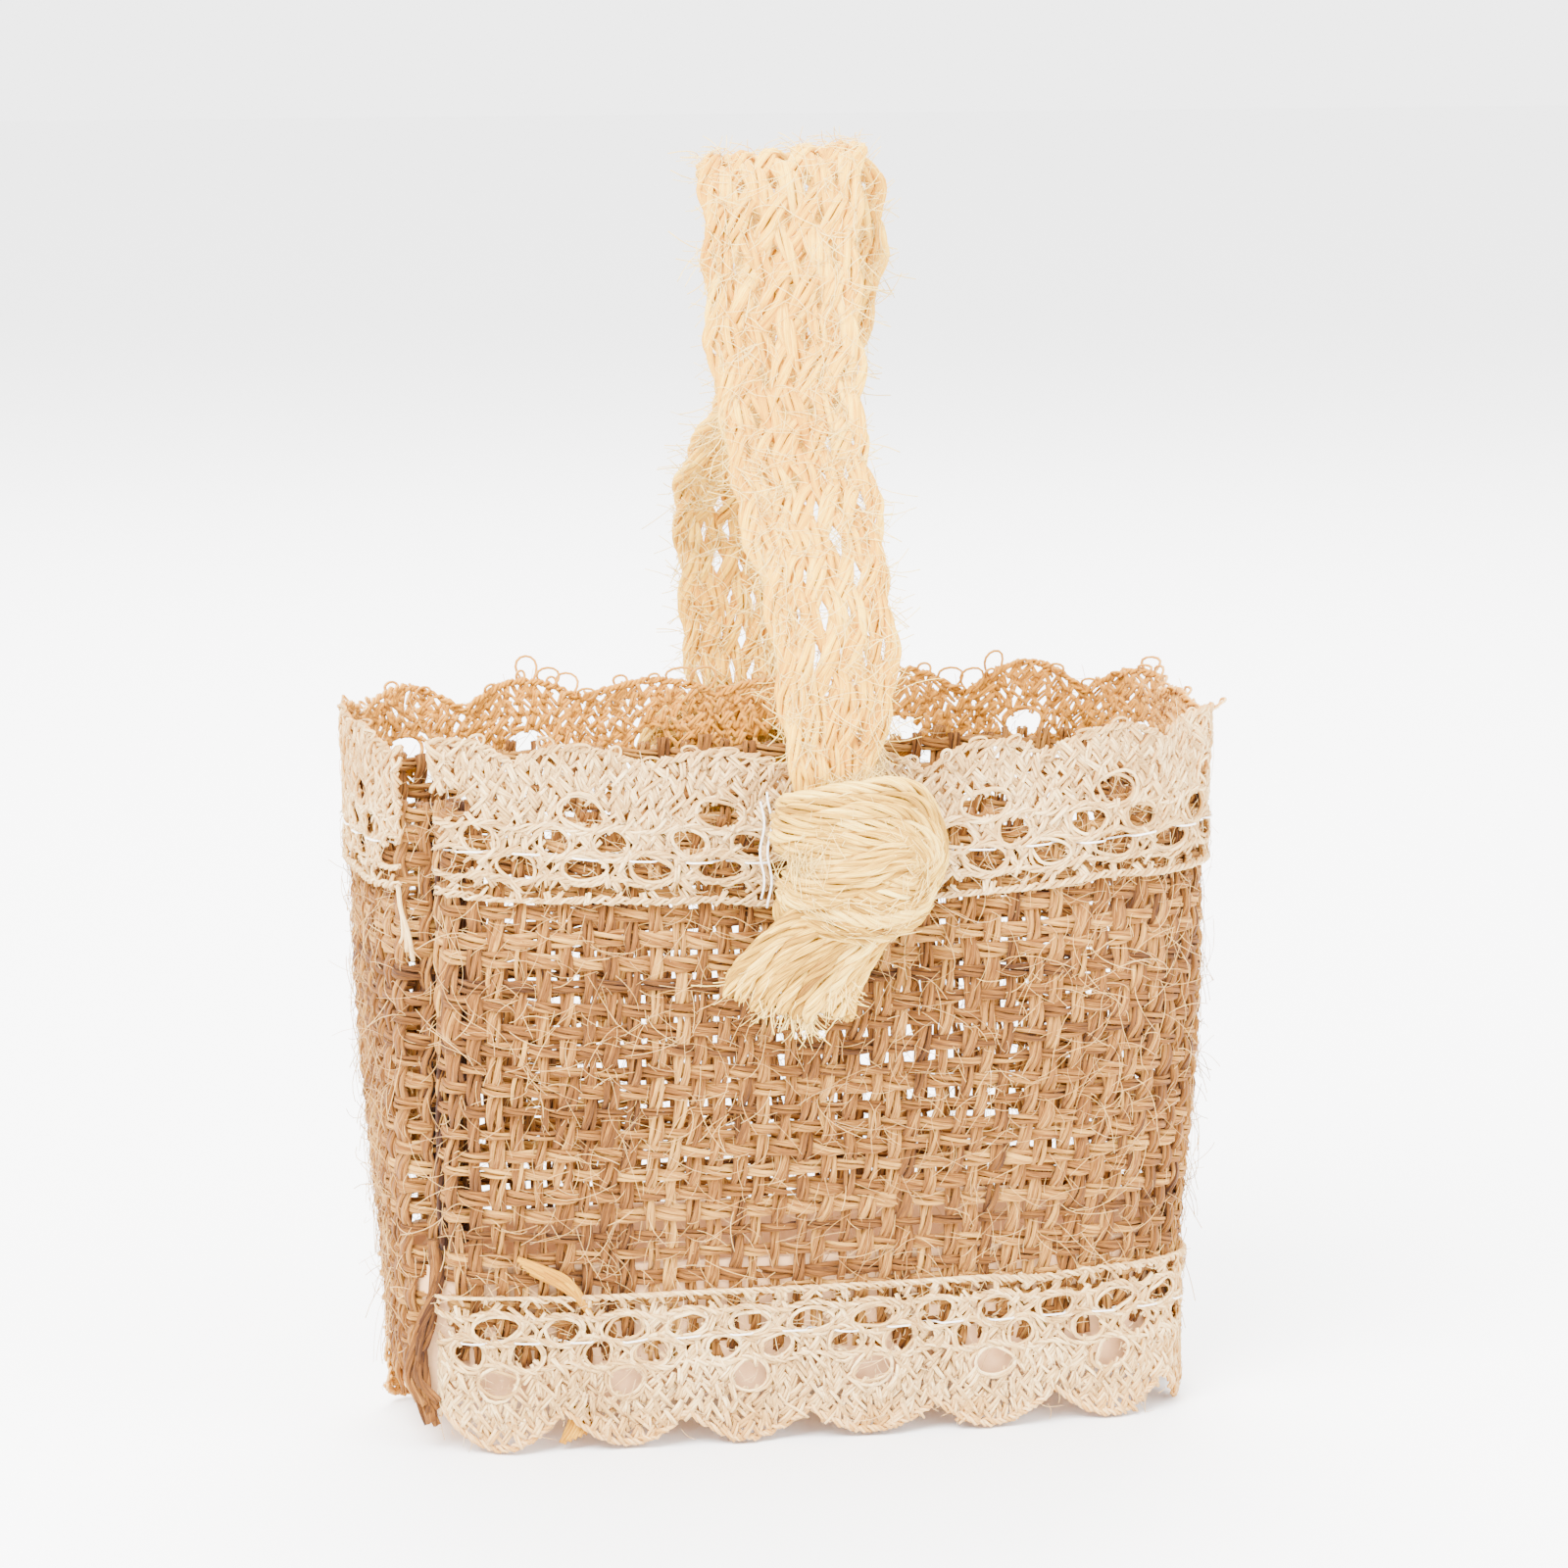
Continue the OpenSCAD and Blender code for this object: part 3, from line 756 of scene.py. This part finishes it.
# %% Running stitches
def running_stitch(name, first, last, height, out, rise):
    n = int((last - first) / 0.5)
    s = np.linspace(first, last, n)
    beat = np.mod((s - first) / 6.2, 1)
    above = np.clip((0.3 - np.abs(beat - 0.5)) / 0.1, 0, 1)
    z = height + smooth_noise(n, 20, 0.12) + smooth_noise(n, 7, 0.1)
    made = Yarns(name, 5)
    made.add(surface(s, z, out(s, z) + rise * above - 0.5 * (1 - above), 0.35), 0.22, 0.22)
    return made.build(THREAD)


upper_run = running_stitch("upper_lace_stitch", 3.0, PERIMETER - 3.2, rim_z - lace_w + 5.3, upper_out, 0.75)
lower_run = running_stitch("lower_lace_stitch", 2.6, PERIMETER - BARE - 1, lace_w - 5.0, lower_out, 0.75)
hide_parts("upper_lace_thread")
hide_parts("lower_lace_thread")

# %% [markdown]
# ## The braid
# The handle is a flat open braid of soft, untwisted jute strands. In a flat braid every strand runs
# slantwise from one edge to the other and back, over one neighbour and under the next. The loop goes up
# outside the front wall, bends in above the rim and folds over at the top. It is turned a little, so its
# back half shows beside its front half. Each strand is five flattened tubes twisted together, narrower than
# its place in the braid, so that small diamond openings stay between the strands.

# %% The path of the loop
strap = box["handle_strap"]
strap_y = strap[1][1] - 1.6
loop_rise = strap[1][2] - 1.3 - hinge[2]


def bezier(p, t):
    p = np.asarray(p, float)
    t = t[:, None]
    return (1 - t) ** 3 * p[0] + 3 * t * (1 - t) ** 2 * p[1] + 3 * t ** 2 * (1 - t) * p[2] + t ** 3 * p[3]


def loop_frame(count):
    """Middle, sideways direction, distance and rise along the loop, from the front knot to the back one."""
    t = np.linspace(0, 1, 200)
    half = np.concatenate([np.stack([np.ones(40), np.linspace(-0.04, 0.2, 40)], 1),
                           bezier([[1, 0.2], [1, 0.42], [0.38, 0.48], [0.3, 0.74]], t)[1:],
                           bezier([[0.3, 0.74], [0.26, 0.87], [0.2, 1], [0, 1]], t)[1:]])
    both = np.concatenate([half, (half * [-1, 1])[::-1][1:]])
    y, z = -both[:, 0] * strap_y, hinge[2] + both[:, 1] * loop_rise
    high = np.clip((both[:, 1] - 0.15) / 0.5, 0, 1)
    turn = high * high * (3 - 2 * high) * np.radians(8)
    front = np.interp(both[:, 1], [0, 0.3, 0.6, 0.8, 1], [0, 0, -1.0, -1.5, -0.6])
    back = np.interp(both[:, 1], [0, 0.15, 0.43, 0.66, 0.9, 1], [0, 0.8, -2.6, 3.4, 3.8, -0.6])
    swing = np.where(both[:, 0] > 0, front, back)
    swing = np.convolve(np.pad(swing, 40, "edge"), np.ones(81) / 81, "valid")
    path = np.stack([hinge[0] + swing + np.sin(turn) * y * 0.5, np.cos(turn) * y, z], 1)
    across = np.stack([np.cos(turn), -np.sin(turn), np.sin(turn) * 0.7], 1)
    far = np.concatenate([[0], np.cumsum(np.linalg.norm(np.diff(path, axis=0), axis=1))])
    even = np.linspace(0, far[-1], count)
    pick = [np.interp(even, far, path[:, k]) for k in range(3)]
    side = [np.interp(even, far, across[:, k]) for k in range(3)]
    rise = np.interp(even, far, both[:, 1])
    return np.stack(pick, 1), unit(np.stack(side, 1)), even, rise


middle, sideways, along_loop, rise = loop_frame(280)
forward = unit(np.gradient(middle, axis=0))
facing = np.cross(forward, sideways)
half_strap = np.where(rise < 0.12, 4.6 + 2.0 * rise / 0.12, 6.6 + 2.8 * (rise - 0.12) / 0.88)
print("the braid between the knots is", round(along_loop[-1], 1), "mm long")

# %% [markdown]
# ## Strands over and under
# A strand swings from edge to edge as it goes along the braid, and its depth steps between front and back at
# every crossing. Both are functions of the distance along the loop, so one function draws every strand, each
# moved along by one step. A flat braid bent with a modifier would also do, but here the width and the sway
# change along the loop.

# %% Braided strands
STRANDS = 11
CYCLE = 92.0
knots_t = np.arange(2 * STRANDS + 1) / (2 * STRANDS)
ups = np.array([0] + [(-1) ** j for j in range(1, STRANDS)] + [0]
               + [-(-1) ** j for j in range(STRANDS + 1, 2 * STRANDS)] + [0], float)


def braid(name, centre, side, face, far, half, strands, material, body, width=2.0, thick=1.4):
    made = Yarns(name, 6)
    for k in range(strands):
        tau = np.mod(far / CYCLE + k / strands, 1)
        swing = 1 - 4 * np.abs(tau - 0.5)
        swing = -np.sin(np.clip(swing, -1, 1) * np.pi / 2) * 0.35 - swing * 0.65
        depth = np.interp(tau, knots_t, ups) * 0.55
        sideways_by = swing * (half - width * 0.42) + smooth_noise(len(far), 14, 0.22)
        depth = depth + smooth_noise(len(far), 18, 0.12)
        path = centre + side * sideways_by[:, None] + face * depth[:, None]
        w = width * (1 + smooth_noise(len(far), 16, 0.13)) * np.clip(half / 7.2, 0.72, 1.15)
        made.add_plied(path, w, thick, side, PLIES, TWIST)
    return made.build(material, body)


handle = braid("handle_braid", middle, sideways, facing, along_loop, half_strap, STRANDS, CREAM, "handle")
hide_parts("handle_strap")

# %% [markdown]
# ## Fuzz
# Untwisted jute is furry. Short curled hairs start on both faces of the braid and lie close to it, with more
# of them near its edges, where they show against the light. They ride with the handle.

# %% Fuzz on the braid
HANDLE_HAIRS, LONGEST_HAIR = 5900, 3.8


def fuzz_on(name, centres, sides, faces, halves, count, material, body):
    made = Yarns(name, 3)
    for _ in range(count):
        i = rng.integers(1, len(centres) - 1)
        across = rng.uniform(-1, 1)
        across = np.sign(across) * abs(across) ** 0.6
        sign = rng.choice([-1, 1])
        ahead = unit(centres[i + 1] - centres[i - 1])
        normal = faces[i] * sign
        root = centres[i] + sides[i] * across * halves[i] * 0.95 + normal * rng.uniform(0.5, 1.1)
        heading = unit(ahead * rng.normal(0, 1.0) + sides[i] * (rng.normal(0, 0.45) - 0.2 * across)
                       + 0.06 * normal)
        length = min(rng.gamma(3, 0.72), LONGEST_HAIR)
        made.add(hair_path(root, heading, normal, length, 1.6, 6), rng.uniform(0.06, 0.13))
    return made.build(material, body)


handle_fuzz = fuzz_on("handle_fuzz", middle[8:-8], sideways[8:-8], facing[8:-8], half_strap[8:-8],
                      HANDLE_HAIRS, CREAM_FUZZ, "handle")

# %% [markdown]
# ## The knots
# Each end of the braid is tied in an overhand knot against the wall. What shows is a broad wrap that runs
# across from the left, turns round the right side and comes back down to the lower left, and a flared tail
# below it. A knot is easier to draw than to simulate: each wrap is a bundle of strands swept along a
# drawn curve.

# %% A bundle along a curve
def curve_through(points, count):
    """A smooth path through the given points."""
    p = np.asarray(points, float)
    p = np.concatenate([[2 * p[0] - p[1]], p, [2 * p[-1] - p[-2]]])
    t = np.linspace(0, len(p) - 3 - 1e-6, count)
    i = t.astype(int)
    f = (t - i)[:, None]
    a, b, c, d = p[i], p[i + 1], p[i + 2], p[i + 3]
    return 0.5 * (2 * b + (c - a) * f + (2 * a - 5 * b + 4 * c - d) * f ** 2
                  + (3 * b - a - 3 * c + d) * f ** 3)


def bundle(made, points, widths, thicks, facing_way, strands, place, count=60, jitter=0.12, strand_w=1.75,
           strand_t=1.6, weave=0.35, ragged=0):
    """Parallel strands that follow a curve. widths and thicks are the bundle's size at the drawn points."""
    path = curve_through(points, count)
    t = np.linspace(0, 1, count)
    marks = np.linspace(0, 1, len(widths))
    half = np.interp(t, marks, widths) / 2
    ahead = unit(np.gradient(path, axis=0))
    out = curve_through(facing_way, count)
    across = unit(np.cross(ahead, out))
    normal = np.cross(across, ahead)
    thick = np.interp(t, marks, thicks)
    for k in range(strands):
        u = (k - (strands - 1) / 2) / max((strands - 1) / 2, 1)
        round_off = np.sqrt(max(0, 1 - (0.85 * u) ** 2))
        slip = u * (half - strand_w * 0.35) + smooth_noise(count, 14, jitter)
        lift = (thick * 0.5 * (round_off - 0.55) + weave * np.sin(9 * t + 2.4 * k) * 0.6
                + smooth_noise(count, 12, 0.1))
        p = path + across * slip[:, None] + normal * lift[:, None]
        w = strand_w * (1 + smooth_noise(count, 12, 0.08))
        stop = count
        if ragged:
            clump = k * 4 // strands
            stop = count - (9, 1, 4, 8)[clump] - rng.integers(0, 3)
            p = p + across * ((clump - 1.5) * 0.5 * t ** 3)[:, None]
            w = w * (1 - 0.45 * np.clip((np.arange(count) - stop + 5) / 5, 0, 1))
        made.add_plied(place(p[:stop]), w[:stop], strand_t, place(across[:stop], True), 5, 9.0)
    return path, across, normal, half


def knot_place(back):
    """Puts knot points, which are drawn as seen from outside, on the front or the back wall."""
    turn = -1.0 if back else 1.0

    def place(p, only_turn=False):
        p = np.asarray(p, float)
        moved = p * [turn, turn, 1]
        return moved if only_turn else moved + [hinge[0], 0, 0]
    return place


def tie(name, back):
    """Points are x from the handle's middle, y outwards (negative is out of the front) and z."""
    place = knot_place(back)
    z = hinge[2]
    wall = -(half_d + 1.9)
    made = Yarns(name, 6)
    # the wrap across the top, which turns round the right side
    bundle(made, [[-5.6, wall - 0.8, z - 4.5], [-4.6, wall - 4.6, z - 3.6], [1.0, wall - 6.8, z - 2.4],
                  [6.2, wall - 6.4, z - 2.8], [9.4, wall - 4.2, z - 6.6], [7.8, wall - 3.6, z - 11.5]],
           [6, 7.2, 7.6, 7.6, 7, 6], [3.6, 4.6, 4.8, 4.8, 4.6, 3.4],
           [[-1, -0.3, 0], [-0.6, -1, 0.1], [0, -1, 0.1], [0.4, -1, 0], [1, -0.8, 0], [0.6, -1, -0.6]],
           6, place)
    # the wrap below, which comes back to the lower left
    bundle(made, [[9.4, wall - 2.4, z - 8.0], [7.6, wall - 4.6, z - 11.6], [3.6, wall - 6.0, z - 12.4],
                  [-0.4, wall - 5.4, z - 12.2], [-3.8, wall - 2.8, z - 12.2], [-4.6, wall - 0.6, z - 10.5]],
           [6, 7.4, 7.6, 7.2, 6.6, 6], [3.4, 4.6, 4.8, 4.6, 4.2, 3.4],
           [[1, -0.6, 0], [0.7, -1, -0.5], [0.2, -1, -0.3], [0, -1, 0], [-0.6, -1, 0], [-1, -0.4, 0]],
           6, place)
    # the slanted wrap between them
    bundle(made, [[-5.0, wall - 0.8, z - 11.2], [-3.4, wall - 4.8, z - 10.4], [1.0, wall - 6.9, z - 8.4],
                  [5.2, wall - 6.6, z - 6.2], [8.6, wall - 4.2, z - 5.6], [9.2, wall - 1.4, z - 6.6]],
           [4.6, 5.6, 6, 6, 5.4, 4.6], [3.4, 4.4, 4.6, 4.4, 4.0, 3.4],
           [[-1, -0.3, 0], [-0.6, -1, 0], [0, -1, 0], [0.2, -1, 0], [0.8, -1, 0], [1, -0.4, 0]], 5, place)
    # the tail, whose strands end in four clumps of different lengths
    path, across, normal, half = bundle(
        made, [[4.0, wall - 3.0, z - 11.0], [1.0, wall - 3.6, z - 14.5], [-2.4, wall - 3.2, z - 18.0],
               [-4.8, wall - 2.4, z - 21.8], [-5.6, wall - 2.0, z - 25.0]],
        [7, 9.4, 12.4, 13.8, 13.8], [4, 4.2, 4, 3.6, 3],
        [[0, -1, 0], [0, -1, -0.1], [0, -1, -0.2], [0, -1, -0.1], [0, -1, 0]], 10, place, ragged=5)
    # The knot takes the darker copy of the jute, with its painted shade between the strands.
    return made.build(KNOT_JUTE_PAINTED_SHADE), (place(path), place(across, True), place(normal, True), half)


front_knot, front_tail = tie("front_knot_wraps", False)
back_knot, back_tail = tie("back_knot_wraps", True)
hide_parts("front_knot")
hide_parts("back_knot")

# %% [markdown]
# ## Frayed ends
# The cut strands of a tail open into finer fibres. Short hairs carry on from the end of each clump, and more
# lie over the wraps. They are held outside the wall, so that none comes through to the inside.

# %% Frayed ends and fuzz of the knots
TAIL_HAIRS, WRAP_HAIRS = 420, 1500


def knot_fuzz(name, tail, back):
    path, across, normal, half = tail
    place = knot_place(back)
    made = Yarns(name, 3)
    end = path[-1]
    drop = unit(path[-1] - path[-4])
    for _ in range(TAIL_HAIRS):
        u = rng.uniform(-1, 1)
        short = (3.4, 0.4, 1.5, 3.0)[min(3, int(2 * u + 2))] * 1.1
        root = end + across[-1] * u * half[-1] * 0.9 + normal[-1] * rng.normal(0, 0.8) \
            - drop * (short + rng.uniform(-0.2, 2.5))
        heading = unit(drop + across[-1] * (0.5 * u + rng.normal(0, 0.35)) + normal[-1] * rng.normal(0, 0.3))
        p = hair_path(root, heading, normal[-1], rng.gamma(3, 0.45) + 0.4, 0.5, 6)
        made.add(p, rng.uniform(0.07, 0.16))
    for _ in range(WRAP_HAIRS):
        a, b = rng.uniform(0, 2 * np.pi), rng.uniform(-0.6, 1)
        n = unit(np.array([np.cos(a) * 1.0, -abs(b) - 0.15, np.sin(a)]))
        root = np.array([2.4, -(half_d + 5.4), hinge[2] - 7.5]) + n * [7.8, 3.6, 8.4]
        heading = unit(np.cross(n, rng.normal(0, 1, 3)))
        p = hair_path(root, heading, n, min(rng.gamma(3, 0.9), LONGEST_HAIR), 1.2, 6)
        p[:, 1] = np.minimum(p[:, 1], -(half_d + 1.9))
        made.add(place(p), rng.uniform(0.05, 0.11))
    return made.build(CREAM_FUZZ)


front_fray = knot_fuzz("front_knot_fray", front_tail, False)
back_fray = knot_fuzz("back_knot_fray", back_tail, True)

# %% [markdown]
# ## Small threads and strays
# Four small things make it look hand made: two upright threads beside each knot, which hold it to the wall,
# a white yarn hanging from the cut end of the upper lace, a frayed strand at the foot of the joined corner,
# and a golden lump of yarn that slips under the lower lace.

# %% Threads beside the knots
def knot_threads(name, back):
    place = knot_place(back)
    made = Yarns(name, 5)
    for k in range(2):
        z = np.linspace(hinge[2] - 0.5 - k, hinge[2] - 13.0 + k, 16)
        x = -6.9 - 0.8 * k + 0.25 * np.sin(z)
        y = -(half_d + 2.0) - 0.25 * np.sin(np.linspace(0, np.pi, 16))
        made.add(place(np.stack([x, y, z], 1)), 0.26, 0.26)
    return made.build(THREAD)


front_threads = knot_threads("front_knot_threads", False)
back_threads = knot_threads("back_knot_threads", True)
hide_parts("front_knot_stitches")
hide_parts("back_knot_stitches")

# %% Corner seam, loose yarn, frayed strand and golden lump
seam = Yarns("corner_seam_thread", 5)
z = np.linspace(box["seam_thread"][0][2], box["seam_thread"][1][2], 80)
s = 0.9 * np.sign(np.sin(z * 2 * np.pi / 5.0))
s = np.convolve(s, np.ones(5) / 5, "same")
seam.add(surface(s, z, 0.9 - 0.25 * np.abs(s)), 0.22)
corner_seam = seam.build(BURLAP)
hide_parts("seam_thread")

yarn_end = Yarns("lace_loose_yarn", 6)
top = surface(PERIMETER - 2.6, rim_z - lace_w + 1.0, 1.3, 0.35)
for k in range(3):
    yarn_end.add(curve_through([top, top + [0.2, -0.5, -2.5], top + [0.9 - 0.3 * k, -0.9, -5.0],
                                top + [1.4 - 0.7 * k, -0.9, -8.0 + k]], 14), 0.55 - 0.1 * k, warm=0.0)
loose_yarn = yarn_end.build(COTTON)
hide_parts("lace_yarn_tail")

strand = Yarns("corner_frayed_strand", 5)
foot = surface(0.0, wall_low + 13.0, 1.6)
for k in range(10):
    q = rng.normal(0, 0.3, (5, 3)) * np.linspace(0.6, 2.0, 5)[:, None]
    q[:, 2] *= 0.3
    line = np.array([foot, foot + [0.3, -0.3, -4.5], foot + [-1.0, -0.1, -10], foot + [-1.8, 0.2, -15],
                     foot + [-0.6, -0.4, -21.0 + 0.35 * k]]) + q
    line[:, 2] = np.maximum(line[:, 2], 0.4)
    path = curve_through(line, 30)
    strand.add_plied(path, 1.0, 0.8, np.tile([1.0, 0.3, 0], (30, 1)), 3, 9.0, rng.uniform(-0.7, 0.3))
frayed_strand = strand.build(BURLAP)
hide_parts("seam_strand")

lump = Yarns("golden_lump", 5)
for k in range(6):
    line = [surface(11.0 + 0.3 * k, lace_w + 4.6 - 0.3 * k, 1.0),
            surface(14.0 + 0.1 * k, lace_w + 3.6 - 0.3 * k, 1.5),
            surface(17.0, lace_w + 1.8 - 0.25 * k, 1.5), surface(19.5, lace_w - 2.5, 0.7)]
    path = curve_through(line, 24)
    lump.add_plied(path, 0.75, 0.6, np.cross(outward(15.0), np.gradient(path, axis=0)), 3, 12.0)
for k in range(5):
    a, b = surface(17.4 + 0.5 * k, 5.0, 0.6), surface(15.6 + 0.62 * k, 0.9 + 0.25 * k, 0.9)
    path = curve_through([a, (a + b) / 2 + [0.2, 0, 0], b], 12)
    lump.add_plied(path, 0.9, 0.7, np.tile([1.0, 0, 0], (12, 1)), 3, 12.0)
golden = lump.build(GOLD)
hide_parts("gold_slub")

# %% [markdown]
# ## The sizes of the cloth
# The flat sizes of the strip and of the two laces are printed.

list(wall_yarns[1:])
print("strip", round(PERIMETER + 2 * FOLD, 1), "by", round(wall_high - wall_low, 1), "mm; laces",
      round(PERIMETER - 4.4, 1), "and", round(PERIMETER - BARE - 0.8, 1), "by", round(lace_w, 1), "mm")
